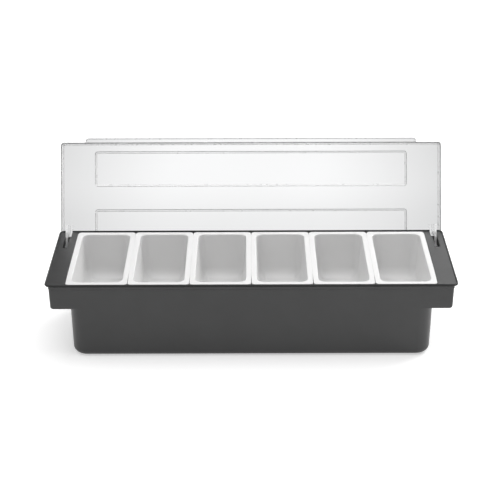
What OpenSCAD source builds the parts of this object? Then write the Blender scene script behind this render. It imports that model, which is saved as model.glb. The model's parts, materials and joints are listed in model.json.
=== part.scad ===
// Six-pan condiment caddy: a moulded tray with a grip under each end, six lift-out
// pans that hang in its rim, and one clear lid that swings back over the rear edge.
// Origin: the middle of the flat underside. The front faces -Y and Z points up.
// The lid is drawn open, leaning back on the tray.

/* [Tray] */
// Length over the rim
tray_length = 500; // [440:1:580]
// Width over the rim, front to back
tray_width = 158; // [145:1:185]
// Height of the rim above the table
tray_height = 102; // [95:1:125]
// Wall thickness of the tray
tray_wall = 2.5; // [2:0.1:3]
// Thickness of the rim's outer edge
rim_thickness = 3.8; // [2.5:0.1:4.4]
// How far the rim stands out past the end walls
rim_overhang = 4.3; // [3.8:0.1:7]
// How far the rim stands out past the front and rear walls
rim_overhang_front = 4; // [3.6:0.1:5]
// Corner radius of the rim, seen from above
rim_corner = 7; // [6:0.5:10]
// Width of the raised bead along the rim's edge
bead_width = 1.6; // [1.2:0.1:2]
// Height of the bead above the deck
bead_height = 1.5; // [1:0.1:2]
// Width of the deck at each end, from the rim's edge to the pans
deck_width = 24.6; // [23:0.1:32]
// Depth of the grip hood under each end, below the rim
hood_depth = 35; // [30:1:42]
// Corner radius of the body's upright edges
body_corner = 18; // [12:0.5:20]
// Radius of the body's bottom edge
bottom_round = 8; // [4:0.5:9]
// Draft of the front and rear walls, in degrees
side_draft = 1.5; // [0.5:0.1:2]
// Draft of the hoods' end walls, in degrees
hood_draft = 1.1; // [0.5:0.1:2]
// Draft of the end walls below the hoods, in degrees
end_draft = 0.7; // [0.3:0.1:2]

/* [Pans] */
// Gap between the flanges of neighbouring pans
pan_gap = 0.6; // [0.4:0.1:2]
// Clearance round the row of pans in its pocket
pocket_clearance = 0.3; // [0.2:0.1:1]
// Thickness of a pan's flange
flange_thickness = 2.5; // [2:0.1:3]
// How far the flanges stand above the deck
flange_proud = 0.3; // [0:0.1:0.8]
// Width of the flange along a pan's long sides
flange_side = 6.5; // [5.5:0.1:8]
// Width of the flange at a pan's front and rear
flange_end = 6.9; // [6:0.1:10]
// Corner radius of a flange
flange_corner = 4.5; // [3:0.5:6]
// Depth of a pan, from the top of its flange to its underside
pan_depth = 60; // [45:1:75]
// Wall thickness of a pan
pan_wall = 1.6; // [1.2:0.1:2.2]
// Draft of a pan's walls, in degrees
pan_draft = 4; // [2:0.5:5]
// Radius between a pan's walls and floor, inside
pan_floor_round = 13; // [6:1:16]
// Radius of a pan's upright corners, inside
pan_corner = 9; // [6:0.5:12]
// Clearance between the end pans and the well's end walls
well_clearance = 2.1; // [0.5:0.1:3]

/* [Lid] */
// Wall thickness of the lid
lid_wall = 2; // [1.6:0.1:2.4]
// How far the lid's edge lies inside the rim's edge
lid_inset = 1; // [0.5:0.1:1.4]
// Corner radius of the lid, seen from above
lid_corner = 4; // [3:0.5:8]
// Rounding along the lid's top edges
lid_top_round = 2.5; // [1.5:0.1:3]
// Length of the finger flange along the front edge
tab_length = 433; // [200:1:440]
// How far the finger flange stands out
tab_reach = 5.5; // [4:0.1:9]
// Thickness of the finger flange
tab_thickness = 2; // [1.5:0.1:3]
// Corner radius of the finger flange
tab_corner = 4; // [2:0.5:4]
// Length of the two raised panels
panel_length = 410; // [200:1:420]
// Width of each raised panel
panel_width = 45.6; // [30:0.1:48]
// Distance from the lid's front edge to the first panel
panel_margin = 11.6; // [8:0.1:14]
// Space between the two panels
panel_space = 30.8; // [20:0.1:34]
// Height of the panels
panel_rise = 1.2; // [0.8:0.1:1.6]
// Width of the sloping step round each panel
panel_slope = 2; // [1:0.1:3]

/* [Hinge] */
// Angle between the closed and the open lid, in degrees
open_angle = 115; // [108:1:120]
// Depth of the hinge axis below the rim
hinge_drop = 14.7; // [13:0.1:16]
// Space left behind the rim's rear edge when the lid stands open
lid_back_gap = 3; // [1:0.1:4]
// Distance from the rim's end to the middle of the hinge arm
arm_inset = 10.95; // [10.4:0.05:11.4]
// Thickness of the hinge arm
arm_thickness = 2.7; // [2.2:0.1:3]
// Width of the part of the arm that joins the lid
arm_width = 15; // [10:0.5:18]
// Distance from the hinge axis to that part, which steps over the rear wall
arm_step = 13.8; // [13.2:0.1:15]
// Diameter of the knuckle at the foot of the arm
knuckle_diameter = 8.4; // [7.6:0.1:9]
// Diameter of the hinge pin
pin_diameter = 4; // [3:0.1:4.6]
// Running clearance between the pin and the knuckle, on the radius
pin_clearance = 0.08; // [0.05:0.01:0.1]
// Side clearance between the knuckle and its cheeks
cheek_clearance = 0.6; // [0.4:0.1:0.7]
// Thickness of the inner cheek
cheek_thickness = 2.6; // [2:0.1:3.5]

/* [Hidden] */
$fn = 64;
hull_fn = 32;
pan_count = 6;
// Steps in a rounded edge
turn_steps = 4;
smallest_corner = 0.6;
// Overlap that joins two solids, and overshoot of a cut
skin = 0.01;
cut = 1;

tray_black = [0.20, 0.20, 0.21];
pan_white = [0.93, 0.93, 0.92];
lid_clear = [0.80, 0.84, 0.85, 0.45];
pin_steel = [0.62, 0.63, 0.65];

// Heights in the tray
rim_underside = tray_height - rim_thickness;
deck_z = tray_height - bead_height;
deck_underside = deck_z - tray_wall;
pocket_floor = deck_z + flange_proud - flange_thickness;
ledge_underside = pocket_floor - tray_wall;
shoulder_lap = 0.8;
shoulder_bottom = ledge_underside - shoulder_lap;
hood_bottom = tray_height - hood_depth;
well_step = hood_bottom + tray_wall;

// Half sizes of the tray, seen from above
rim_x = tray_length / 2;
rim_y = tray_width / 2;
hood_x = rim_x - rim_overhang;
wall_y = rim_y - rim_overhang_front;
pocket_x = rim_x - deck_width;
shoulder_step = 1.8;
shoulder_y = rim_y - shoulder_step;
pocket_y = shoulder_y - shoulder_step;
hood_corner = rim_corner - rim_overhang_front;

// Pans
row_x = pocket_x - pocket_clearance;
pan_pitch = 2 * row_x / pan_count;
flange_x = (pan_pitch - pan_gap) / 2;
flange_y = pocket_y - pocket_clearance;
flange_top = pocket_floor + flange_thickness;
pan_x = flange_x - flange_side;
pan_y = flange_y - flange_end;

// Well of the tray: its end walls follow the end pans' draft
row_body_x = row_x - pan_gap / 2 - flange_side + pan_wall;
well_top_x = row_body_x + well_clearance;
well_low_x = well_top_x - (flange_top - well_step) * tan(pan_draft);

// Hinge: the open lid clears the rim's rear edge, and that edge clears the closing lid
lean = open_angle - 90;
seat_gap = 0.2;
lid_edge_n = hinge_drop + seat_gap;
hinge_z = tray_height - hinge_drop;
hinge_y = rim_y - (hinge_drop * sin(lean) + lid_edge_n - lid_back_gap) / cos(lean);
swing = norm([rim_y - hinge_y, hinge_drop]);
swing_clearance = 0.7;
under_clearance = 1.1;
lid_under_n = swing + under_clearance;
lid_top_n = lid_under_n + lid_wall;

// Arm of the lid with its knuckle, and the rib beside it, at the right-hand end
arm_x0 = rim_x - arm_inset - arm_thickness / 2;
arm_x1 = arm_x0 + arm_thickness;
arm_foot_y = hinge_y - arm_step - arm_width;
leg_half_height = 3.5;
knuckle_r = knuckle_diameter / 2;
knuckle_lip_in = 2.5;
knuckle_lip_out = 0.4;
knuckle_x0 = arm_x0 - knuckle_lip_in;
knuckle_x1 = arm_x1 + knuckle_lip_out;
rib_thickness = 1.2;
rib_space = 2.6;
rib_x = arm_x0 - rib_space - rib_thickness;

// Cheeks, slot and notch in the tray
cheek_reach = 7;
cheek_in_x1 = knuckle_x0 - cheek_clearance;
cheek_in_x0 = cheek_in_x1 - cheek_thickness;
cheek_out_x0 = knuckle_x1 + cheek_clearance;
slot_clearance = 0.4;
slot_x0 = knuckle_x0 - slot_clearance;
slot_x1 = knuckle_x1 + slot_clearance;
notch_clearance = 0.6;
notch_back = 4;
notch_floor = 7;

// Hinge pins
pin_fit = 0.02;
pin_head = 1.2;
pin_end_gap = 0.2;
pin_end_x = hood_x - tray_wall / 2;

// Lid, in its closed place
lid_edge_z = hinge_z + lid_edge_n;
lid_under_z = hinge_z + lid_under_n;
lid_top_z = hinge_z + lid_top_n;
lid_x = rim_x - lid_inset;
lid_front_y = -(rim_y - lid_inset);
stop_gap = 0.3;
stop_reach = hinge_y + lid_under_n * cos(lean) - wall_y - stop_gap
           + (rim_underside - hinge_z + lid_under_n * sin(lean)) * tan(side_draft);
lid_rear_y = hinge_y + stop_reach / (sin(lean) - cos(lean) * tan(side_draft));
skirt_draft = 2;
panel_corner = 3;

// Half width of the front and rear walls' outer faces, and half length of the end
// walls' outer faces, at height z
function wall_at(z) = wall_y - (rim_underside - z) * tan(side_draft);
function hood_at(z) = hood_x - (rim_underside - z) * tan(hood_draft);
function body_at(z) = well_low_x + tray_wall - (hood_bottom - z) * tan(end_draft);

// Flat plate with round corners, centred, seen from above
module round_plate(half_x, half_y, r) {
    square([2 * half_x, 2 * (half_y - r)], center = true);
    square([2 * (half_x - r), 2 * half_y], center = true);
    for (sx = [-1, 1], sy = [-1, 1])
        translate([sx * (half_x - r), sy * (half_y - r)])
            circle(r);
}

module round_block(half_x, half_y, r, z0, z1)
    translate([0, 0, z0])
        linear_extrude(z1 - z0)
            round_plate(half_x, half_y, r);

// Solid through levels [z, half_x, half_y, corner radius], listed from below
module loft(levels)
    hull()
        for (level = levels, sx = [-1, 1], sy = [-1, 1])
            translate([sx * (level[1] - level[3]), sy * (level[2] - level[3]),
                       level[0] - (level == levels[0] ? 0 : skin)])
                cylinder(r = level[3], h = skin, $fn = hull_fn);

// Levels of a rounded bottom edge of radius r on a body that is half_x by half_y and
// has corner radius c at height z0, with its walls drawn in below that height
function bottom_levels(z0, half_x, half_y, c, r, draft_x, draft_y, floor_z) =
    [for (i = [0 : turn_steps])
        let (a = 90 * i / turn_steps,
             z = floor_z + r * (1 - cos(a)),
             inset = r * (1 - sin(a)))
        [z,
         half_x - (z0 - z) * tan(draft_x) - inset,
         half_y - (z0 - z) * tan(draft_y) - inset,
         max(c - inset, smallest_corner)]];

module both_ends() {
    children();
    mirror([1, 0, 0])
        children();
}

// Plate seen along X, from x0 to x1
module side_plate(x0, x1)
    translate([x0, 0, 0])
        rotate([90, 0, 90])
            linear_extrude(x1 - x0)
                children();

// Rod along X, round the hinge axis
module hinge_rod(r, x0, x1)
    side_plate(x0, x1)
        translate([hinge_y, hinge_z])
            circle(r);

module tray_body() {
    loft(concat(
        bottom_levels(hood_bottom, body_at(hood_bottom), wall_at(hood_bottom), body_corner,
                      bottom_round, end_draft, side_draft, 0),
        [[hood_bottom, body_at(hood_bottom), wall_at(hood_bottom), body_corner]]));
}

module tray_hood()
    loft([[hood_bottom, hood_at(hood_bottom), wall_at(hood_bottom), hood_corner],
          [rim_underside, hood_x, wall_y, hood_corner]]);

module tray_rim() {
    round_block(rim_x, rim_y, rim_corner, rim_underside, tray_height);
    round_block(hood_x, shoulder_y, hood_corner, shoulder_bottom, rim_underside);
}

// Space that the pans hang in, with room for ice below them
module well() {
    inner_corner = body_corner - tray_wall;
    loft(concat(
        bottom_levels(well_step, well_low_x, wall_at(well_step) - tray_wall, inner_corner,
                      bottom_round, end_draft, side_draft, tray_wall),
        [[well_step + skin, well_low_x, wall_at(well_step) - tray_wall, inner_corner]]));
    loft([[well_step, well_top_x, wall_at(well_step) - tray_wall, inner_corner],
          [pocket_floor + skin, well_top_x, wall_at(pocket_floor) - tray_wall, inner_corner]]);
}

// Hollow under one end deck, open below, for the fingers
module grip_hollow() {
    hollow_x = hood_at(hood_bottom) - tray_wall;
    hollow_y = wall_at(hood_bottom) - tray_wall;
    for (part = [[well_top_x, ledge_underside], [pocket_x, deck_underside]])
        translate([part[0] + tray_wall, -hollow_y, hood_bottom - cut])
            cube([hollow_x - part[0] - tray_wall, 2 * hollow_y, part[1] - hood_bottom + cut]);
}

// Cheeks that carry one hinge pin, under the deck and joined to the rear wall
module hinge_cheeks() {
    depth = wall_at(hinge_z) - tray_wall / 2 - hinge_y;
    for (x = [[cheek_in_x0, cheek_in_x1], [cheek_out_x0, hood_x - tray_wall]])
        side_plate(x[0], x[1])
            translate([hinge_y, hinge_z]) {
                circle(cheek_reach);
                translate([-cheek_reach, 0])
                    square([depth + cheek_reach, deck_z - tray_wall / 2 - hinge_z]);
                translate([0, -cheek_reach])
                    square([depth, cheek_reach]);
            }
}

// Cuts for one hinge arm: a slot in the deck, and a wider notch through the rear edge
module arm_slot() {
    slot_y0 = arm_foot_y - swing_clearance;
    notch_x0 = rib_x - notch_clearance;
    notch_y0 = hinge_y + notch_back;
    notch_z = hinge_z + notch_floor;
    translate([slot_x0, slot_y0, deck_underside - cut])
        cube([slot_x1 - slot_x0, notch_y0 + cut - slot_y0, tray_wall + bead_height + 2 * cut]);
    translate([notch_x0, notch_y0, notch_z])
        cube([slot_x1 + notch_clearance - notch_x0, rim_y - notch_y0 + cut,
              tray_height - notch_z + cut]);
}

module tray()
    color(tray_black)
        difference() {
            union() {
                difference() {
                    union() {
                        tray_body();
                        tray_hood();
                        tray_rim();
                    }
                    both_ends()
                        grip_hollow();
                }
                both_ends()
                    hinge_cheeks();
            }
            round_block(rim_x - bead_width, rim_y - bead_width, rim_corner - bead_width,
                        deck_z, tray_height + cut);
            round_block(pocket_x, pocket_y, flange_corner + pocket_clearance,
                        pocket_floor, tray_height + cut);
            well();
            both_ends() {
                arm_slot();
                hinge_rod(pin_diameter / 2 + pin_fit, cheek_in_x0 - cut, pin_end_x + pin_end_gap);
            }
        }

// One pan, number i counted from the left
module pan(i) {
    outer_x = pan_x + pan_wall;
    outer_y = pan_y + pan_wall;
    underside = flange_top - pan_depth;
    color(pan_white)
        translate([(i - (pan_count + 1) / 2) * pan_pitch, 0, 0])
            difference() {
                union() {
                    round_block(flange_x, flange_y, flange_corner, pocket_floor, flange_top);
                    loft(concat(
                        bottom_levels(flange_top, outer_x, outer_y, pan_corner + pan_wall,
                                      pan_floor_round + pan_wall, pan_draft, pan_draft, underside),
                        [[pocket_floor + skin, outer_x - flange_thickness * tan(pan_draft),
                          outer_y - flange_thickness * tan(pan_draft), pan_corner + pan_wall]]));
                }
                loft(concat(
                    bottom_levels(flange_top, pan_x, pan_y, pan_corner,
                                  pan_floor_round, pan_draft, pan_draft, underside + pan_wall),
                    [[flange_top + skin, pan_x, pan_y, pan_corner]]));
            }
}

// Raised panel number i of the lid, drawn with its underside at z
module lid_panel(i, z, grow) {
    middle_y = lid_front_y + panel_margin + panel_width / 2 + i * (panel_width + panel_space);
    half_x = panel_length / 2 + grow;
    half_y = panel_width / 2 + grow;
    corner = panel_corner + grow;
    translate([0, middle_y, 0])
        loft([[z - skin, half_x, half_y, corner],
              [z + panel_rise, half_x - panel_slope, half_y - panel_slope,
               max(corner - panel_slope, smallest_corner)]]);
}

// Shallow cover with skirts at the front and the ends
module lid_shell() {
    middle_y = (lid_front_y + lid_rear_y) / 2;
    half_y = (lid_rear_y - lid_front_y) / 2;
    draft = (lid_top_z - lid_edge_z) * tan(skirt_draft);
    top_x = lid_x - draft;
    top_y = half_y - draft;
    r = lid_top_round;
    difference() {
        translate([0, middle_y, 0])
            loft(concat(
                [[lid_edge_z, lid_x, half_y, lid_corner]],
                [for (i = [0 : turn_steps])
                    let (a = 90 * i / turn_steps, inset = r * (1 - cos(a)))
                    [lid_top_z - r * (1 - sin(a)), top_x - inset, top_y - inset,
                     max(lid_corner - inset, smallest_corner)]]));
        translate([0, middle_y + lid_wall, 0])
            loft([[lid_edge_z - cut, lid_x - lid_wall, half_y, lid_corner - lid_wall],
                  [lid_under_z, top_x - lid_wall, top_y, lid_corner - lid_wall]]);
        translate([-rim_x, hinge_y, lid_edge_z - cut])
            cube([tray_length, tray_width, lid_under_z - lid_edge_z + cut]);
        hinge_rod(swing + swing_clearance, -rim_x, rim_x);
    }
}

module finger_flange()
    translate([0, lid_front_y, lid_edge_z])
        linear_extrude(tab_thickness) {
            translate([-tab_length / 2, -tab_reach + tab_corner])
                square([tab_length, tab_reach - tab_corner + lid_wall / 2]);
            translate([-tab_length / 2 + tab_corner, -tab_reach])
                square([tab_length - 2 * tab_corner, tab_reach]);
            for (sx = [-1, 1])
                translate([sx * (tab_length / 2 - tab_corner), -tab_reach + tab_corner])
                    circle(tab_corner);
        }

// Hinge arm with its knuckle and the box that stiffens it against the lid
module hinge_arm() {
    rib_height = lid_under_z - lid_edge_z + lid_wall / 2;
    difference() {
        union() {
            side_plate(arm_x0, arm_x1)
                translate([arm_foot_y, hinge_z - leg_half_height]) {
                    square([hinge_y - arm_foot_y, 2 * leg_half_height]);
                    square([arm_width, lid_under_n + leg_half_height + lid_wall / 2]);
                }
            hinge_rod(knuckle_r, knuckle_x0, knuckle_x1);
            side_plate(rib_x, rib_x + rib_thickness)
                translate([arm_foot_y, lid_edge_z])
                    square([arm_width, rib_height]);
            side_plate(rib_x, arm_x1)
                translate([hinge_y - arm_step - rib_thickness, lid_edge_z])
                    square([rib_thickness, rib_height]);
        }
        hinge_rod(pin_diameter / 2 + pin_clearance, knuckle_x0 - cut, knuckle_x1 + cut);
    }
}

module lid_closed() {
    difference() {
        union() {
            lid_shell();
            for (i = [0, 1])
                lid_panel(i, lid_top_z, 0);
        }
        for (i = [0, 1])
            lid_panel(i, lid_under_z, -lid_wall / 2);
    }
    finger_flange();
    both_ends()
        hinge_arm();
}

module lid()
    color(lid_clear)
        translate([0, hinge_y, hinge_z])
            rotate([-open_angle, 0, 0])
                translate([0, -hinge_y, -hinge_z])
                    lid_closed();

// Headed pin through the cheeks and the knuckle, on the right-hand side
module hinge_pin()
    color(pin_steel) {
        hinge_rod(pin_diameter / 2, cheek_in_x0 - pin_head / 2, pin_end_x);
        hinge_rod(pin_diameter / 2 + pin_head, cheek_in_x0 - pin_head, cheek_in_x0);
    }

module left_hinge_pin()
    mirror([1, 0, 0])
        hinge_pin();

module right_hinge_pin()
    hinge_pin();

tray();
lid();
pan(1);  // pan_1
pan(2);  // pan_2
pan(3);  // pan_3
pan(4);  // pan_4
pan(5);  // pan_5
pan(6);  // pan_6
left_hinge_pin();
right_hinge_pin();
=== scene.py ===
import json
import math

import bmesh
import bpy
from mathutils import Matrix, Vector


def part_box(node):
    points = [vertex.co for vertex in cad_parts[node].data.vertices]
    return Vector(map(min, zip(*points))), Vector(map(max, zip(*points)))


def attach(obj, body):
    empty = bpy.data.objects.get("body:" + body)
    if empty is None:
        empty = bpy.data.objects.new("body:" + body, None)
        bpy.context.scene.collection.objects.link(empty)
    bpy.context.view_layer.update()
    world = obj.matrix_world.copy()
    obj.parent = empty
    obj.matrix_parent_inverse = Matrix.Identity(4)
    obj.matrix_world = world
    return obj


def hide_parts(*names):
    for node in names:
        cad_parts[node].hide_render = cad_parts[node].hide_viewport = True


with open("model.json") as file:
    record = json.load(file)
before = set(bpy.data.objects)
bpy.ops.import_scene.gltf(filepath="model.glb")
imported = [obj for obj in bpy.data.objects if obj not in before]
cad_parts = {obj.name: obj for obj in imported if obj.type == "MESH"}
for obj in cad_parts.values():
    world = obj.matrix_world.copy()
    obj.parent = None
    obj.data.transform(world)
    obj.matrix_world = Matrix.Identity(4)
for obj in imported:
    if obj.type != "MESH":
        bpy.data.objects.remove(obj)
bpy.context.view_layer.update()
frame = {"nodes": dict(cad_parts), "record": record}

MM = 0.001
PAN_COUNT = 6


def node_box(name):
    """Lowest and highest corner of a CAD node, in millimetres."""
    return [[v / MM for v in corner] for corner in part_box(name)]


def tan_deg(angle):
    return math.tan(math.radians(angle))


# Sizes in millimetres and degrees. The outer ones are read from the frame. The rest repeat the
# CAD part's own, apart from fine rounds, steps and bows that only the scene has.

# Tray: rim and deck
RIM_X, RIM_Y, RIM_TOP = node_box("tray")[1]
RIM_LOW = 98.2
RIM_CORNER = 7.0
BEAD = 1.6
LIP_Z = 99.9
LIP_ROUND = 1.0
COVE = ((-1.7, 0.0), (-1.2, 0.2), (-0.8, 0.6))  # points (out, up) from the rim's lower edge
UNDER_LIP = ((-0.6, -0.7), (-0.3, -0.5), (-0.08, -0.25))  # points (out, up) from the lip
BEAD_ROUND = 0.6
BEAD_FOOT = 0.4
DECK = 100.5
DECK_LOW = 98.0
LEDGE_LOW = 95.8  # underside of the ledge that the pans' flanges lie on
SHOULDER_Y = 77.2
SHOULDER_LOW = 95.0
SHOULDER_SLOPE = 1.6
SHOULDER_ROUND = 0.8

# Tray: hoods over the grips, body and the well inside
HOOD_X = 245.7
HOOD_LOW = 67.0
HOOD_CORNER = 3.0
HOOD_ROUND = 2.2
HOOD_DRAFT = 1.1
HOLLOW_ROUND = 1.5
HOLLOW_CORNER = 2.0
WALL_Y = 75.0
TRAY_WALL = 2.5
BODY_CORNER = 18.0
BOTTOM_ROUND = 8.0
SIDE_DRAFT = 1.5
END_DRAFT = 0.7
POCKET_X = 225.4
POCKET_Y = 75.4
POCKET_FLOOR = 98.3
POCKET_CORNER = 4.8
POCKET_LEAD = 0.4
WELL_STEP = 69.5
WELL_TOP_X = 222.0
WELL_LOW_X = 219.811

# Pans: half sizes inside the top, wall, flange and the bow of its long sides
PAN_X = 30.7167
PAN_Y = 68.2
PAN_WALL = 1.6
PAN_CORNER = 9.0
PAN_ROUND = 13.0
PAN_DRAFT = 4.0
PAN_LIP = 1.2
PAN_LIP_ANGLE = 176
(pan_x0, _, PAN_LOW), (pan_x1, FLANGE_Y, FLANGE_TOP) = node_box("pan_1")
PAN_PITCH = (node_box(f"pan_{PAN_COUNT}")[0][0] - pan_x0) / (PAN_COUNT - 1)
FLANGE_X = (pan_x1 - pan_x0) / 2
FLANGE_CORNER = 4.5
FLANGE_UNDER_ROUND = 0.4
FLANGE_TOP_ROUND = 0.3
BOW = 0.28
BOW_FRONT = -69.0
BOW_FRONT_RUN = 24.0
BOW_REAR = 73.0
BOW_REAR_RUN = 8.0

# Lid, in its closed place: plate and skirts
LID_INSET = 1.0
LID_X = RIM_X - LID_INSET
LID_FRONT = -(RIM_Y - LID_INSET)
LID_REAR = 78.4913
LID_EDGE = 102.2
LID_UNDER = 113.209
LID_TOP = 115.209
LID_WALL = 2.0
LID_CORNER = 4.0
LID_ROUND = 2.5
LID_EDGE_ROUND = 0.4
LID_INNER_ROUND = 1.0
LID_DRAFT = 2.0
SWING_CUT = 25.509  # radius round the hinge axis that is cut from the plate and skirts

# Lid: finger flange and raised panels
TAB_LENGTH = 433.0
TAB_REACH = 5.5
TAB_THICK = 2.0
TAB_CORNER = 4.0
TAB_ROUND = 0.5
TAB_SLOPE = 0.6
TAB_RUN = 1.7
PANEL_LENGTH = 411.0
PANEL_WIDTH = 46.6
PANEL_MARGIN = 11.1
PANEL_SPACE = 29.8
PANEL_RISE = 1.2
PANEL_SLOPE = 1.0
PANEL_CORNER = 3.5
PANEL_INSET = 2.0
PANEL_ROOT = 0.5  # how far a panel's solid starts inside the plate

# Hinge: axis, arms, knuckles, pins, and the cheeks, slots and notches in the tray
lid_joint = next(j for j in frame["record"]["behaviour"]["joints"] if j["name"] == "lid_hinge")
HINGE_Y, HINGE_Z = (v / MM for v in lid_joint["pos_m"][1:])
OPEN_ANGLE = -lid_joint["range_deg"][0]
ARM_X0 = 237.7
ARM_X1 = 240.4
ARM_FOOT = 30.2151
ARM_WIDTH = 15.0
ARM_OUTER_BEND = 1.5
ARM_INNER_BEND = 2.0
LEG = 3.5  # half height of the part that goes back to the knuckle
RIB_X = 233.9
RIB = 1.2
KNUCKLE_X0 = 235.2
KNUCKLE_X1 = 240.8
KNUCKLE_R = 4.2
PIN_R = 2.0
PIN_FIT = 0.02
PIN_CLEARANCE = 0.08
PIN_END_GAP = 0.2
CHEEK_REACH = 7.0
CHEEK_GAP = 0.6
CHEEK_THICK = 2.6
SLOT_GAP = 0.4
SLOT_CORNER = 0.8
SWING_GAP = 0.7
NOTCH_GAP = 0.6
NOTCH_BACK = 4.0
NOTCH_FLOOR = 7.0

# Where a piece takes its second material
# Faces round the outside of the rim, up to this height and within this reach, take the painted
# shade of the lip
SHADE_LIP_TOP = 100.7
SHADE_LIP_REACH = 2.5
# The arms' legs, to the rear of this, take the pale matt plastic that paints their glow
GLOW_LEG_Y = 40.0
MATT_SLANT = 0.97

SMOOTH_ANGLE = 35  # edges sharper than this stay sharp

# For clean joins and cuts: SEAM keeps rings from lying on each other, cutters and roots run on
# by OVERSHOOT, and NEAR is the play in tests of where a face or point lies
SEAM = 0.01
OVERSHOOT = 1.0
NEAR = 0.1
SMALLEST_CORNER = 0.6
SHARP_CORNER = 0.05


def wall_at(z):
    """Half width over the front and rear walls at height z."""
    return WALL_Y - (RIM_LOW - z) * tan_deg(SIDE_DRAFT)


def hood_at(z):
    """Half length over the hoods at height z."""
    return HOOD_X - (RIM_LOW - z) * tan_deg(HOOD_DRAFT)


def body_at(z):
    """Half length over the body's end walls at height z."""
    return WELL_LOW_X + TRAY_WALL - (HOOD_LOW - z) * tan_deg(END_DRAFT)


def smooth_step(t):
    t = min(max(t, 0.0), 1.0)
    return t * t * (3 - 2 * t)


# Outlines and rings

def arc(centre, radius, angles, steps, radius_up=None):
    """Points on an arc about the centre, between two angles in degrees. It is an ellipse's
    where radius_up is given."""
    u, v = centre
    start, end = angles
    points = []
    for i in range(steps + 1):
        a = math.radians(start + (end - start) * i / steps)
        points.append((u + radius * math.cos(a), v + (radius_up or radius) * math.sin(a)))
    return points


def outline(half_x, half_y, corner, middle, corner_steps, side_steps):
    """Points of a rectangle with round corners, counter-clockwise, with side_steps parts
    along each side that runs front to back."""
    mx, my = middle
    points = []
    for sx, sy, start in ((1, -1, -90), (1, 1, 0), (-1, 1, 90), (-1, -1, 180)):
        centre = (mx + sx * (half_x - corner), my + sy * (half_y - corner))
        points += arc(centre, corner, (start, start + 90), corner_steps)
        if sx * sy < 0:
            for i in range(1, side_steps):
                y = my + sy * (half_y - corner) * (1 - 2 * i / side_steps)
                points.append((mx + sx * half_x, y))
    return points


def edge(half_x, half_y, corner, profile):
    """Rings of an edge that runs round a rectangle, from its profile of points (out, z)."""
    return [(z, half_x + out, half_y + out, corner + out) for out, z in profile]


def bottom_levels(z0, half, corner, radius, drafts, floor_z, steps=8):
    """Rings of a rounded bottom edge under walls that draw in below height z0."""
    rings = []
    for inset, z in arc((radius, floor_z + radius), radius, (-90, -180), steps):
        half_x, half_y = (h - (z0 - z) * tan_deg(draft) - inset for h, draft in zip(half, drafts))
        rings.append((z, half_x, half_y, max(corner - inset, SMALLEST_CORNER)))
    return rings


# Solids

def skin(name, rows):
    """Closed solid through rows of points (x, y, z) in millimetres, capped at both ends."""
    bm = bmesh.new()
    rows = [[bm.verts.new([v * MM for v in point]) for point in row] for row in rows]
    count = len(rows[0])
    for low, high in zip(rows, rows[1:]):
        for i in range(count):
            j = (i + 1) % count
            bm.faces.new((low[i], low[j], high[j], high[i]))
    bm.faces.new(list(reversed(rows[0])))
    bm.faces.new(rows[-1])
    bmesh.ops.recalc_face_normals(bm, faces=bm.faces)
    mesh = bpy.data.meshes.new(name)
    bm.to_mesh(mesh)
    bm.free()
    piece = bpy.data.objects.new(name, mesh)
    bpy.context.scene.collection.objects.link(piece)
    return piece


def loft(name, rings, corner_steps=8, middle=(0.0, 0.0), side_steps=1):
    """Solid through rings (z, half_x, half_y, corner radius)."""
    rows = []
    for z, half_x, half_y, corner in rings:
        corner = max(corner, SHARP_CORNER)
        ring = outline(half_x, half_y, corner, middle, corner_steps, side_steps)
        rows.append([(x, y, z) for x, y in ring])
    return skin(name, rows)


def prism(name, points, x0, x1):
    """Solid with the outline points (y, z), counter-clockwise seen from +X, between x0 and x1."""
    return skin(name, [[(x, y, z) for y, z in points] for x in (x0, x1)])


def box(name, x0, x1, y0, y1, z0, z1):
    return prism(name, [(y0, z0), (y1, z0), (y1, z1), (y0, z1)], x0, x1)


def rod(name, radius, x0, x1, sides=32):
    """Cylinder round the hinge axis."""
    points = arc((HINGE_Y, HINGE_Z), radius, (0, 360 - 360 / sides), sides - 1)
    return prism(name, points, x0, x1)


def combine(base, operation, *tools):
    """Joins the tools to the base, cuts them from it or keeps what both share, and removes
    the tools."""
    for tool in tools:
        modifier = base.modifiers.new("combine", "BOOLEAN")
        modifier.operation = operation
        modifier.solver = "EXACT"
        modifier.object = tool
        bpy.context.view_layer.update()
        depsgraph = bpy.context.evaluated_depsgraph_get()
        made = bpy.data.meshes.new_from_object(base.evaluated_get(depsgraph))
        base.modifiers.clear()
        old = base.data
        base.data = made
        bpy.data.meshes.remove(old)
        bpy.data.objects.remove(tool)
    return base


def mirrored(piece):
    """The same solid at the other end of the part."""
    mesh = piece.data.copy()
    mesh.transform(Matrix.Scale(-1, 4, (1, 0, 0)))
    mesh.flip_normals()
    other = bpy.data.objects.new(piece.name + "_left", mesh)
    bpy.context.scene.collection.objects.link(other)
    return other


# Tray

def outer_rings():
    """Body, hoods and shoulder, from the underside up to the rim."""
    rings = bottom_levels(HOOD_LOW, (body_at(HOOD_LOW), wall_at(HOOD_LOW)), BODY_CORNER,
                          BOTTOM_ROUND, (END_DRAFT, SIDE_DRAFT), 0, steps=10)
    rings.append((HOOD_LOW, body_at(HOOD_LOW), wall_at(HOOD_LOW), BODY_CORNER))
    for out, z in arc((-HOOD_ROUND, HOOD_LOW + HOOD_ROUND), HOOD_ROUND, (-90, 0), steps=4):
        rings.append((z, hood_at(z) + out, wall_at(z) + SEAM, HOOD_CORNER + out / 2))

    foot = SHOULDER_LOW - SHOULDER_SLOPE
    rings.append((foot, hood_at(foot), wall_at(foot) + SEAM, HOOD_CORNER))
    centre = (-SHOULDER_ROUND, SHOULDER_LOW + SHOULDER_ROUND / 2)
    for out, z in arc(centre, SHOULDER_ROUND, (-50, 0), steps=3):
        rings.append((z, hood_at(z), SHOULDER_Y + out, HOOD_CORNER))
    rings.append((RIM_LOW, HOOD_X + SEAM, SHOULDER_Y + SEAM, HOOD_CORNER))
    return rings


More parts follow.
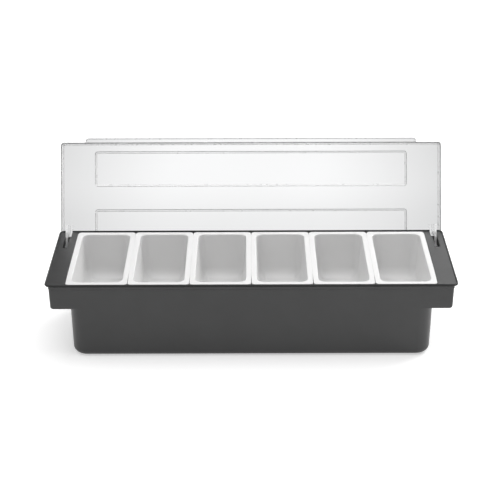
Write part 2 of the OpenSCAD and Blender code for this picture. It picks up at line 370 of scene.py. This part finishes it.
def rim_rings():
    """A cove under a rounded lip, then the bead and down to the deck."""
    profile = [(out, RIM_LOW + up) for out, up in COVE]
    profile += [(out, LIP_Z + up) for out, up in UNDER_LIP]
    profile += arc((-LIP_ROUND, LIP_Z), LIP_ROUND, (0, 90), steps=8, radius_up=RIM_TOP - LIP_Z)
    profile += arc((-BEAD + BEAD_ROUND, RIM_TOP - BEAD_ROUND), BEAD_ROUND, (90, 180), steps=4)
    profile += arc((-BEAD - BEAD_FOOT, DECK + BEAD_FOOT), BEAD_FOOT, (0, -90), steps=4)
    return edge(RIM_X, RIM_Y, RIM_CORNER, profile)


def inner_rings():
    """The pocket that the pans' flanges lie in, and the well below it."""
    lead = POCKET_LEAD
    rings = edge(POCKET_X, POCKET_Y, POCKET_CORNER,
                 arc((lead, DECK - lead), lead, (90, 180), steps=3))
    rings.append((POCKET_FLOOR, POCKET_X, POCKET_Y, POCKET_CORNER))
    corner = BODY_CORNER - TRAY_WALL
    rings += edge(WELL_TOP_X, wall_at(POCKET_FLOOR) - TRAY_WALL, corner,
                  arc((lead, POCKET_FLOOR - lead), lead, (90, 180), steps=3))
    well_y = wall_at(WELL_STEP) - TRAY_WALL
    rings.append((WELL_STEP + lead, WELL_TOP_X, well_y, corner))
    rings.append((WELL_STEP, WELL_LOW_X, well_y - SEAM, corner))
    rings += reversed(bottom_levels(WELL_STEP, (WELL_LOW_X, well_y), corner, BOTTOM_ROUND,
                                    (END_DRAFT, SIDE_DRAFT), TRAY_WALL))
    return rings


def cut_grips(tray):
    """Hollow for the fingers under each end, higher below the deck than below the ledge."""
    hollow_x = hood_at(HOOD_LOW) - TRAY_WALL
    hollow_y = wall_at(HOOD_LOW) - TRAY_WALL
    for inner, top in ((WELL_TOP_X, LEDGE_LOW), (POCKET_X, DECK_LOW)):
        x0 = inner + TRAY_WALL
        profile = [(0, HOOD_LOW - OVERSHOOT)]
        profile += arc((-HOLLOW_ROUND, top - HOLLOW_ROUND), HOLLOW_ROUND, (0, 90), steps=4)
        rings = edge((hollow_x - x0) / 2, hollow_y, HOLLOW_CORNER, profile)
        hollow = loft("hollow", rings, corner_steps=5, middle=((x0 + hollow_x) / 2, 0.0))
        combine(tray, "DIFFERENCE", mirrored(hollow), hollow)


def add_cheeks(tray):
    """Cheeks that carry the hinge pins, under the deck and joined to the rear wall."""
    inner = (KNUCKLE_X0 - CHEEK_GAP - CHEEK_THICK, KNUCKLE_X0 - CHEEK_GAP)
    outer = (KNUCKLE_X1 + CHEEK_GAP, hood_at(HOOD_LOW) - TRAY_WALL / 2)
    depth = wall_at(HINGE_Z) - TRAY_WALL / 2
    roof = DECK - TRAY_WALL / 2
    points = arc((HINGE_Y, HINGE_Z), CHEEK_REACH, (180, 270), steps=9)
    points += [(depth, HINGE_Z - CHEEK_REACH), (depth, roof), (HINGE_Y - CHEEK_REACH, roof)]
    for x0, x1 in (inner, outer):
        cheek = prism("cheek", points, x0, x1)
        combine(tray, "UNION", mirrored(cheek), cheek)


def cut_hinge(tray):
    """Slot and notch for each arm, and the bore for each pin."""
    slot_x0, slot_x1 = KNUCKLE_X0 - SLOT_GAP, KNUCKLE_X1 + SLOT_GAP
    slot_y0, notch_y0 = ARM_FOOT - SWING_GAP, HINGE_Y + NOTCH_BACK
    slot_y1 = notch_y0 + OVERSHOOT
    profile = [(0, DECK_LOW - OVERSHOOT), (0, RIM_TOP + OVERSHOOT)]
    rings = edge((slot_x1 - slot_x0) / 2, (slot_y1 - slot_y0) / 2, SLOT_CORNER, profile)
    middle = ((slot_x0 + slot_x1) / 2, (slot_y0 + slot_y1) / 2)
    slot = loft("slot", rings, corner_steps=4, middle=middle)
    notch = box("notch", RIB_X - NOTCH_GAP, slot_x1 + NOTCH_GAP, notch_y0, RIM_Y + OVERSHOOT,
                HINGE_Z + NOTCH_FLOOR, RIM_TOP + OVERSHOOT)
    bore_x0 = KNUCKLE_X0 - CHEEK_GAP - CHEEK_THICK - OVERSHOOT
    bore = rod("bore", PIN_R + PIN_FIT, bore_x0, HOOD_X - TRAY_WALL / 2 + PIN_END_GAP)
    for tool in (slot, notch, bore):
        combine(tray, "DIFFERENCE", mirrored(tool), tool)


def make_tray():
    """One skin, followed from the underside out and in, with the grips and hinge places."""
    tray = loft("tray_shell", outer_rings() + rim_rings() + inner_rings())
    cut_grips(tray)
    add_cheeks(tray)
    cut_hinge(tray)
    return tray


# Pans

def bow_sides(pan, middle):
    """Bows the flange's long sides out a little, so that neighbours nearly touch there."""
    side = FLANGE_X - FLANGE_TOP_ROUND - NEAR
    for vertex in pan.data.vertices:
        x, y, z = (v / MM for v in vertex.co)
        if abs(x - middle) > side and z > POCKET_FLOOR - SEAM:
            grown = BOW * smooth_step((y - BOW_FRONT) / BOW_FRONT_RUN)
            grown *= smooth_step((BOW_REAR - y) / BOW_REAR_RUN)
            vertex.co.x += math.copysign(grown, x - middle) * MM


def make_pan(number):
    drafts = (PAN_DRAFT, PAN_DRAFT)
    outer_x, outer_y, outer_corner = (v + PAN_WALL for v in (PAN_X, PAN_Y, PAN_CORNER))
    rings = bottom_levels(FLANGE_TOP, (outer_x, outer_y), outer_corner, PAN_ROUND + PAN_WALL,
                          drafts, PAN_LOW, steps=10)
    draw = (FLANGE_TOP - POCKET_FLOOR) * tan_deg(PAN_DRAFT)
    rings.append((POCKET_FLOOR, outer_x - draw, outer_y - draw, outer_corner))
    profile = arc((-FLANGE_UNDER_ROUND, POCKET_FLOOR + FLANGE_UNDER_ROUND),
                  FLANGE_UNDER_ROUND, (-90, 0), steps=3)
    profile += arc((-FLANGE_TOP_ROUND, FLANGE_TOP - FLANGE_TOP_ROUND),
                   FLANGE_TOP_ROUND, (0, 90), steps=5)
    rings += edge(FLANGE_X, FLANGE_Y, FLANGE_CORNER, profile)
    rings += edge(PAN_X, PAN_Y, PAN_CORNER,
                  arc((PAN_LIP, FLANGE_TOP - PAN_LIP), PAN_LIP, (90, PAN_LIP_ANGLE), steps=8))
    rings += reversed(bottom_levels(FLANGE_TOP, (PAN_X, PAN_Y), PAN_CORNER, PAN_ROUND,
                                    drafts, PAN_LOW + PAN_WALL, steps=12))
    middle = (number - (PAN_COUNT + 1) / 2) * PAN_PITCH
    pan = loft(f"pan_liner_{number}", rings, corner_steps=10, middle=(middle, 0.0), side_steps=24)
    bow_sides(pan, middle)
    return pan


# Lid, made in its closed place and then swung open

def lid_plate():
    """Plate with its skirts at the front and the ends, open at the rear."""
    middle, half_y = (LID_REAR + LID_FRONT) / 2, (LID_REAR - LID_FRONT) / 2
    draft = (LID_TOP - LID_EDGE) * tan_deg(LID_DRAFT)
    rings = edge(LID_X, half_y, LID_CORNER,
                 arc((-LID_EDGE_ROUND, LID_EDGE + LID_EDGE_ROUND),
                     LID_EDGE_ROUND, (-90, 0), steps=3))
    rings += edge(LID_X - draft, half_y - draft, LID_CORNER,
                  arc((-LID_ROUND, LID_TOP - LID_ROUND), LID_ROUND, (0, 90), steps=8))
    lid = loft("lid_cover", rings, middle=(0.0, middle))

    corner = LID_CORNER - LID_WALL
    rings = edge(LID_X - LID_WALL, half_y, corner, [(0, LID_EDGE - OVERSHOOT)])
    rings += edge(LID_X - draft - LID_WALL, half_y - draft, corner,
                  arc((-LID_INNER_ROUND, LID_UNDER - LID_INNER_ROUND),
                      LID_INNER_ROUND, (0, 90), steps=5))
    cavity = loft("cavity", rings, corner_steps=6, middle=(0.0, middle + LID_WALL))
    rear = box("rear", -RIM_X, RIM_X, HINGE_Y, RIM_Y + CHEEK_REACH, LID_EDGE - OVERSHOOT, LID_UNDER)
    swing = rod("swing", SWING_CUT, -RIM_X - OVERSHOOT, RIM_X + OVERSHOOT, sides=120)
    return combine(lid, "DIFFERENCE", cavity, rear, swing)


def add_tab(lid):
    """Finger flange along the front edge."""
    profile = arc((-TAB_ROUND, LID_EDGE + TAB_ROUND), TAB_ROUND, (-90, 0), steps=4)
    profile += arc((-TAB_ROUND, LID_EDGE + TAB_THICK - TAB_SLOPE - TAB_ROUND),
                   TAB_ROUND, (0, 60), steps=3)
    profile += [(-TAB_RUN, LID_EDGE + TAB_THICK)]
    tab = loft("tab", edge(TAB_LENGTH / 2, TAB_CORNER, TAB_CORNER, profile),
               middle=(0.0, LID_FRONT - TAB_REACH + TAB_CORNER))
    keep = box("keep", -RIM_X, RIM_X, LID_FRONT - 2 * TAB_REACH, LID_FRONT + OVERSHOOT,
               LID_EDGE - OVERSHOOT, LID_EDGE + TAB_THICK + OVERSHOOT)
    combine(lid, "UNION", combine(tab, "INTERSECT", keep))


def panel(base, grow, y):
    """Solid for one panel, with a soft step up from height base, larger by grow all round."""
    steps = 8
    profile = [(grow, base - PANEL_ROOT)]
    for k in range(steps + 1):
        profile.append((grow - PANEL_SLOPE * k / steps, base + PANEL_RISE * smooth_step(k / steps)))
    rings = [(z, half_x, half_y, max(corner, SMALLEST_CORNER)) for z, half_x, half_y, corner in
             edge(PANEL_LENGTH / 2, PANEL_WIDTH / 2, PANEL_CORNER, profile)]
    return loft("panel", rings, corner_steps=6, middle=(0.0, y))


def add_panels(lid):
    """Two raised panels, each with a soft step round it, hollow on the underside."""
    for i in (0, 1):
        y = LID_FRONT + PANEL_MARGIN + PANEL_WIDTH / 2 + i * (PANEL_WIDTH + PANEL_SPACE)
        combine(lid, "UNION", panel(LID_TOP, 0.0, y))
        combine(lid, "DIFFERENCE", panel(LID_UNDER, -PANEL_INSET, y))


def add_arms(lid):
    """Hinge arms with their knuckles, each boxed in by a rib against the plate."""
    low, high, rear = HINGE_Z - LEG, HINGE_Z + LEG, ARM_FOOT + ARM_WIDTH
    roof = LID_UNDER + OVERSHOOT
    outer, inner = ARM_OUTER_BEND, ARM_INNER_BEND
    points = arc((ARM_FOOT + outer, low + outer), outer, (180, 270), steps=4)
    points += [(HINGE_Y, low), (HINGE_Y, high)]
    points += arc((rear + inner, high + inner), inner, (270, 180), steps=4)
    points += [(rear, roof), (ARM_FOOT, roof)]
    arm = prism("arm", points, ARM_X0, ARM_X1)
    knuckle = rod("knuckle", KNUCKLE_R, KNUCKLE_X0, KNUCKLE_X1, sides=48)
    rib = box("rib", RIB_X, RIB_X + RIB, ARM_FOOT, rear, LID_EDGE, roof)
    end = box("end", RIB_X, ARM_X1, rear - RIB, rear, LID_EDGE, roof)
    combine(arm, "UNION", knuckle, rib, end)
    bore = rod("bore", PIN_R + PIN_CLEARANCE, KNUCKLE_X0 - OVERSHOOT, KNUCKLE_X1 + OVERSHOOT)
    combine(arm, "DIFFERENCE", bore)
    combine(lid, "UNION", mirrored(arm), arm)


def make_lid():
    lid = lid_plate()
    add_tab(lid)
    add_panels(lid)
    add_arms(lid)
    return lid


def split_at(piece, y):
    """Cuts the faces that cross a plane at y, so that each side can take its own material."""
    bm = bmesh.new()
    bm.from_mesh(piece.data)
    bmesh.ops.bisect_plane(bm, geom=bm.verts[:] + bm.edges[:] + bm.faces[:],
                           plane_co=(0, y * MM, 0), plane_no=(0, 1, 0))
    bm.to_mesh(piece.data)
    bm.free()


def swing_open(lid):
    axis = Matrix.Translation((0, HINGE_Y * MM, HINGE_Z * MM))
    swing = Matrix.Rotation(math.radians(-OPEN_ANGLE), 4, "X")
    lid.data.transform(axis @ swing @ axis.inverted())


# Materials

class Tree:
    """Short calls for building a node tree."""

    def __init__(self, tree):
        self.tree = tree
        tree.nodes.clear()

    def add(self, kind, **settings):
        node = self.tree.nodes.new(kind)
        for key, value in settings.items():
            setattr(node, key, value)
        return node

    def link(self, source, target):
        self.tree.links.new(source, target)

    def math(self, operation, *values):
        """Result of a Math node, whose values are sockets or numbers."""
        node = self.add("ShaderNodeMath", operation=operation)
        for target, value in zip(node.inputs, values):
            if isinstance(value, float):
                target.default_value = value
            else:
                self.link(value, target)
        return node.outputs[0]

    def map(self, value, source, result, kind="LINEAR"):
        """Takes a value from the source range to the result range."""
        node = self.add("ShaderNodeMapRange", interpolation_type=kind)
        for key, number in zip(("From Min", "From Max", "To Min", "To Max"), source + result):
            node.inputs[key].default_value = number
        self.link(value, node.inputs["Value"])
        return node.outputs["Result"]

    def fade(self, value, source, result):
        return self.map(value, source, result, "SMOOTHSTEP")

    def axes(self, vector):
        node = self.add("ShaderNodeSeparateXYZ")
        self.link(vector, node.inputs[0])
        return node.outputs

    def ray(self, *names):
        """1 for a ray of one of the named kinds."""
        path = self.add("ShaderNodeLightPath")
        value = path.outputs[names[0]]
        for name in names[1:]:
            value = self.math("MAXIMUM", value, path.outputs[name])
        return value

    def mix(self, factor, first, second):
        """Shader that goes from the first to the second as the factor goes from 0 to 1."""
        node = self.add("ShaderNodeMixShader")
        self.link(factor, node.inputs[0])
        self.link(first.outputs[0], node.inputs[1])
        self.link(second.outputs[0], node.inputs[2])
        return node

    def finish(self, kind, shader):
        self.link(shader.outputs[0], self.add(kind).inputs["Surface"])


NOISE_SPREAD = (0.3, 0.7)  # where most of a noise's values lie


class Finish(Tree):
    """Material with a Principled shader that noise varies over the surface."""

    def __init__(self, name, **values):
        self.material = bpy.data.materials.new(name)
        self.material.use_nodes = True
        super().__init__(self.material.node_tree)
        self.shader = self.add("ShaderNodeBsdfPrincipled")
        self.where = self.add("ShaderNodeTexCoord").outputs["Object"]
        self.normal = None
        for key, value in values.items():
            self.shader.inputs[key.replace("_", " ")].default_value = value

    def noise(self, scale, detail, stretch=None):
        node = self.add("ShaderNodeTexNoise")
        node.inputs["Scale"].default_value = scale
        node.inputs["Detail"].default_value = detail
        where = self.where
        if stretch:
            mapping = self.add("ShaderNodeMapping")
            mapping.inputs["Scale"].default_value = stretch
            self.link(where, mapping.inputs["Vector"])
            where = mapping.outputs[0]
        self.link(where, node.inputs["Vector"])
        return node.outputs[0]

    def tint(self, low, high, warmth=0.0, **noise):
        """Grey from low to high, slightly warm or cool."""
        node = self.add("ShaderNodeValToRGB")
        for element, position, grey in zip(node.color_ramp.elements, NOISE_SPREAD, (low, high)):
            element.position = position
            element.color = (grey * (1 + warmth), grey, grey * (1 - warmth), 1)
        self.link(self.noise(**noise), node.inputs[0])
        self.link(node.outputs[0], self.shader.inputs["Base Color"])

    def rough(self, low, high, **noise):
        value = self.map(self.noise(**noise), NOISE_SPREAD, (low, high))
        self.link(value, self.shader.inputs["Roughness"])

    def relief(self, distance, strength, **noise):
        """Bumps, on top of those made before. The distance is in metres."""
        node = self.add("ShaderNodeBump")
        node.inputs["Distance"].default_value = distance
        node.inputs["Strength"].default_value = strength
        self.link(self.noise(**noise), node.inputs["Height"])
        if self.normal:
            self.link(self.normal, node.inputs["Normal"])
        self.normal = node.outputs[0]

    def done(self, shader=None):
        self.link(self.normal, self.shader.inputs["Normal"])
        self.finish("ShaderNodeOutputMaterial", shader or self.shader)
        return self.material


def tray_plastic():
    """Charcoal plastic with a fine moulded grain."""
    f = Finish("charcoal moulded plastic", IOR=1.5)
    f.tint(low=0.031, high=0.037, warmth=-0.01, scale=14, detail=4)
    f.rough(low=0.32, high=0.40, scale=60, detail=4)
    f.relief(distance=0.0006, strength=0.25, scale=22, detail=2)
    f.relief(distance=0.00002, strength=0.6, scale=2600, detail=2)
    return f.done()


def painted_shade_lip_plastic():
    """The tray's plastic round the outside of the rim: smoother, and darkened as painted shade
    under the lip.
    """
    f = Finish("charcoal plastic, painted shade", IOR=1.5, Specular_IOR_Level=0.25)
    # Very dark colour and weak gloss: painted shade under the rim's lip
    f.tint(low=0.008, high=0.011, scale=30, detail=3)
    f.rough(low=0.18, high=0.26, scale=80, detail=4)
    f.relief(distance=0.0004, strength=0.2, scale=26, detail=2)
    return f.done()


def pan_plastic():
    """White plastic that lets a little light in."""
    f = Finish("white moulded plastic", IOR=1.45, Subsurface_Weight=0.05,
               Subsurface_Scale=0.004, Subsurface_Radius=(1.0, 0.95, 0.9))
    f.tint(low=0.745, high=0.77, warmth=0.003, scale=18, detail=3)
    f.rough(low=0.28, high=0.36, scale=70, detail=4)
    f.relief(distance=0.0005, strength=0.2, scale=30, detail=2)
    f.relief(distance=0.000015, strength=0.5, scale=2400, detail=2)
    return f.done()


def lid_plastic():
    """Clear plastic, which lamps shine through."""
    f = Finish("clear moulded plastic", IOR=1.49, Transmission_Weight=1.0)
    f.tint(low=0.945, high=0.96, warmth=-0.004, scale=10, detail=3)
    f.rough(low=0.01, high=0.04, scale=45, detail=5)
    f.relief(distance=0.0004, strength=0.1, scale=16, detail=1)
    let_through = f.add("ShaderNodeBsdfTransparent")
    let_through.inputs["Color"].default_value = (0.9, 0.9, 0.9, 1)
    return f.done(f.mix(f.ray("Is Shadow Ray"), f.shader, let_through))


def matt_glow_clear_plastic():
    """The same plastic, matt and pale, on steps, round edges and the hinge arms; on the arms the
    paleness is painted glow.
    """
    f = Finish("clear plastic, matt with painted glow", IOR=1.49, Transmission_Weight=0.45)
    # Pale milky colour: on the hinge arms it is painted glow of light carried through the clear
    # edges
    f.tint(low=0.78, high=0.84, scale=60, detail=3)
    f.rough(low=0.25, high=0.35, scale=200, detail=4)
    f.relief(distance=0.00001, strength=0.3, scale=1800, detail=2)
    return f.done()


def pin_metal():
    """Steel with lines round the pin."""
    f = Finish("plain steel", Metallic=1.0)
    f.tint(low=0.56, high=0.64, warmth=-0.01, scale=300, detail=3, stretch=(8, 1, 1))
    f.rough(low=0.25, high=0.4, scale=900, detail=3, stretch=(6, 1, 1))
    f.relief(distance=0.00001, strength=0.5, scale=1500, detail=2, stretch=(8, 1, 1))
    return f.done()


def is_painted_shade_lip(polygon):
    """True for the tray's faces round the outside of the rim, which take the painted shade of the
    lip.
    """
    x, y, z = (abs(v) / MM for v in polygon.center)
    outside = x > RIM_X - SHADE_LIP_REACH or y > RIM_Y - SHADE_LIP_REACH
    return outside and RIM_LOW - SEAM < z < SHADE_LIP_TOP


def is_matt_or_glow(polygon):
    """True for faces of the closed lid on steps, round edges and the legs of the arms, which take
    the matt plastic with its painted glow.
    """
    leg = polygon.center.z < (LID_EDGE - NEAR) * MM and polygon.center.y > GLOW_LEG_Y * MM
    slanted = max(abs(v) for v in polygon.normal) < MATT_SLANT
    return leg or slanted


def sort_faces(piece, takes_second):
    """Gives the faces that pass the test the piece's second material, the others its first."""
    piece.data.materials.clear()
    for polygon in piece.data.polygons:
        polygon.material_index = int(takes_second(polygon))


def dress(piece, body, node, slot, *materials):
    """Materials, smooth shading with flat faces kept flat, and the piece's place in the row."""
    for material in materials:
        piece.data.materials.append(material)
    for polygon in piece.data.polygons:
        polygon.use_smooth = True
    piece.data.set_sharp_from_angle(angle=math.radians(SMOOTH_ANGLE))
    weighted = piece.modifiers.new("even faces", "WEIGHTED_NORMAL")
    weighted.keep_sharp = True
    weighted.weight = 100
    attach(piece, body)
    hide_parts(node)


tray = make_tray()
# Faces round the outside of the rim take the darker material, painted shade under the lip
sort_faces(tray, is_painted_shade_lip)
dress(tray, "tray", "tray", "tray_plastic", tray_plastic(), painted_shade_lip_plastic())

lid = make_lid()
split_at(lid, GLOW_LEG_Y)
# Steps, round edges and the arms' legs take the matt plastic; on the arms its paleness is painted
# glow
sort_faces(lid, is_matt_or_glow)
swing_open(lid)
dress(lid, "lid", "lid", "lid_plastic", lid_plastic(), matt_glow_clear_plastic())

white = pan_plastic()
for number in range(1, PAN_COUNT + 1):
    dress(make_pan(number), f"pan_{number}", f"pan_{number}", "pan_plastic", white)

steel = pin_metal()
for name in ("left_hinge_pin", "right_hinge_pin"):
    pin = frame["nodes"][name]
    pin.data.materials.clear()
    pin.data.materials.append(steel)


# Floor, world and lamps, in metres. Levels are strengths, where 1 is white. Where two pairs
# stand together, the first is a range of places or directions and the second the levels or
# shares at its two ends.

FLOOR_SIZE = 40
FLOOR_DROP = 0.0003
FLOOR_COLOUR = (0.9, 0.9, 0.9, 1)
LIFT_REACH, LIFT = (0.35, 1.2), (0.45, 0.62)  # outwards from the tray's middle
ASIDE_REACH, ASIDE = (0.1, 0.45), (1.05, 0.7)  # to the left or right, seen through the lid
BEHIND_REACH, BEHIND = (0.3, 0.5), (0.89, 1.0)  # to the rear, seen through the lid

WORLD_LEVEL = 0.53  # even light on the object
ABOVE_SPREAD, ABOVE = (0.5, 0.95), (0.18, 0.72)  # upwards, in gloss
RIGHT_SPREAD, RIGHT = (-0.13, 0.13), (0.0, 0.98)  # to the right, in gloss
REAR_SPREAD, REAR = (0.2, 0.7), (0.0, 1.0)  # to the rear, in gloss
THROUGH_SPREAD, THROUGH = (0.1, 0.6), (0.72, 0.56)  # upwards, seen through the lid


def make_floor():
    """Pale floor that keeps the shadow and is lifted to white. Through the clear lid it is a
    bright field that greys off to the sides and towards the object."""
    bpy.ops.mesh.primitive_plane_add(size=FLOOR_SIZE, location=(0, 0, -FLOOR_DROP))
    floor = bpy.context.object
    floor.name = "floor"
    material = bpy.data.materials.new("pale floor")
    material.use_nodes = True
    t = Tree(material.node_tree)
    place = t.add("ShaderNodeNewGeometry").outputs["Position"]

    diffuse = t.add("ShaderNodeBsdfDiffuse")
    diffuse.inputs["Color"].default_value = FLOOR_COLOUR
    reach = t.add("ShaderNodeVectorMath", operation="LENGTH")
    t.link(place, reach.inputs[0])
    level = t.fade(reach.outputs["Value"], LIFT_REACH, LIFT)
    level = t.math("MULTIPLY", t.ray("Is Camera Ray", "Is Glossy Ray"), level)
    lift = t.add("ShaderNodeEmission")
    t.link(level, lift.inputs["Strength"])
    lifted = t.add("ShaderNodeAddShader")
    t.link(diffuse.outputs[0], lifted.inputs[0])
    t.link(lift.outputs[0], lifted.inputs[1])

    x, y, _ = t.axes(place)
    aside = t.fade(t.math("ABSOLUTE", x), ASIDE_REACH, ASIDE)
    field = t.math("MULTIPLY", aside, t.fade(y, BEHIND_REACH, BEHIND))
    backlight = t.add("ShaderNodeEmission")
    t.link(field, backlight.inputs["Strength"])
    mixed = t.mix(t.ray("Is Transmission Ray"), lifted, backlight)
    t.finish("ShaderNodeOutputMaterial", mixed)
    floor.data.materials.append(material)


def make_world():
    """White to the camera and even light on the object. In gloss the studio is brightest
    above and at the rear right. Through the lid it darkens a little with height."""
    world = bpy.data.worlds.new("studio")
    bpy.context.scene.world = world
    world.use_nodes = True
    t = Tree(world.node_tree)
    x, y, z = t.axes(t.add("ShaderNodeTexCoord").outputs["Generated"])
    corner = t.math("MULTIPLY", t.fade(x, RIGHT_SPREAD, RIGHT), t.fade(y, REAR_SPREAD, REAR))
    glossy = t.math("ADD", t.fade(z, ABOVE_SPREAD, ABOVE), corner)
    through = t.fade(z, THROUGH_SPREAD, THROUGH)
    other = t.math("SUBTRACT", 1.0, t.ray("Is Camera Ray", "Is Glossy Ray", "Is Transmission Ray"))

    level = t.ray("Is Camera Ray")
    for share, strength in ((t.ray("Is Glossy Ray"), glossy),
                            (t.ray("Is Transmission Ray"), through),
                            (other, WORLD_LEVEL)):
        level = t.math("MAXIMUM", level, t.math("MULTIPLY", share, strength))
    background = t.add("ShaderNodeBackground")
    background.inputs["Color"].default_value = (1, 1, 1, 1)
    t.link(level, background.inputs["Strength"])
    t.finish("ShaderNodeOutputWorld", background)


def lamp(name, place, target, size, power):
    data = bpy.data.lights.new(name, "AREA")
    data.shape = "RECTANGLE"
    data.size, data.size_y = size
    data.energy = power
    light = bpy.data.objects.new(name, data)
    light.location = place
    light.rotation_mode = "QUATERNION"
    light.rotation_quaternion = (Vector(target) - Vector(place)).to_track_quat("-Z", "Y")
    bpy.context.scene.collection.objects.link(light)


make_floor()
make_world()
lamp("overhead", place=(0, 0.1, 1.4), target=(0, 0, 0), size=(1.3, 1.0), power=9)
lamp("softbox", place=(1.5, 1.3, 1.3), target=(0, 0, 0.1), size=(1.4, 1.4), power=32)


# Camera, fitted to the photo: angles in degrees, place in metres, focal length in pixels

PITCH = 25.487
ROLL = -0.162
PLACE = (-0.0015, -1.536, 0.8429)
FOCAL = 1358.9
PICTURE = 500
SENSOR = 36
FARTHEST = 100


def make_camera():
    data = bpy.data.cameras.new("camera")
    data.sensor_width = SENSOR
    data.lens = FOCAL / PICTURE * SENSOR
    data.clip_end = FARTHEST
    camera = bpy.data.objects.new("camera", data)
    pitch, roll = math.radians(PITCH), math.radians(ROLL)
    forward = Vector((0, math.cos(pitch), -math.sin(pitch)))
    up = Vector((0, math.sin(pitch), math.cos(pitch)))
    right = Vector((1, 0, 0))
    tilted_right = math.cos(roll) * right + math.sin(roll) * up
    tilted_up = math.cos(roll) * up - math.sin(roll) * right
    axes = Matrix((tilted_right, tilted_up, -forward)).transposed()
    camera.matrix_world = Matrix.Translation(PLACE) @ axes.to_4x4()
    bpy.context.scene.collection.objects.link(camera)
    bpy.context.scene.camera = camera


make_camera()
bpy.context.scene.view_settings.view_transform = "Standard"
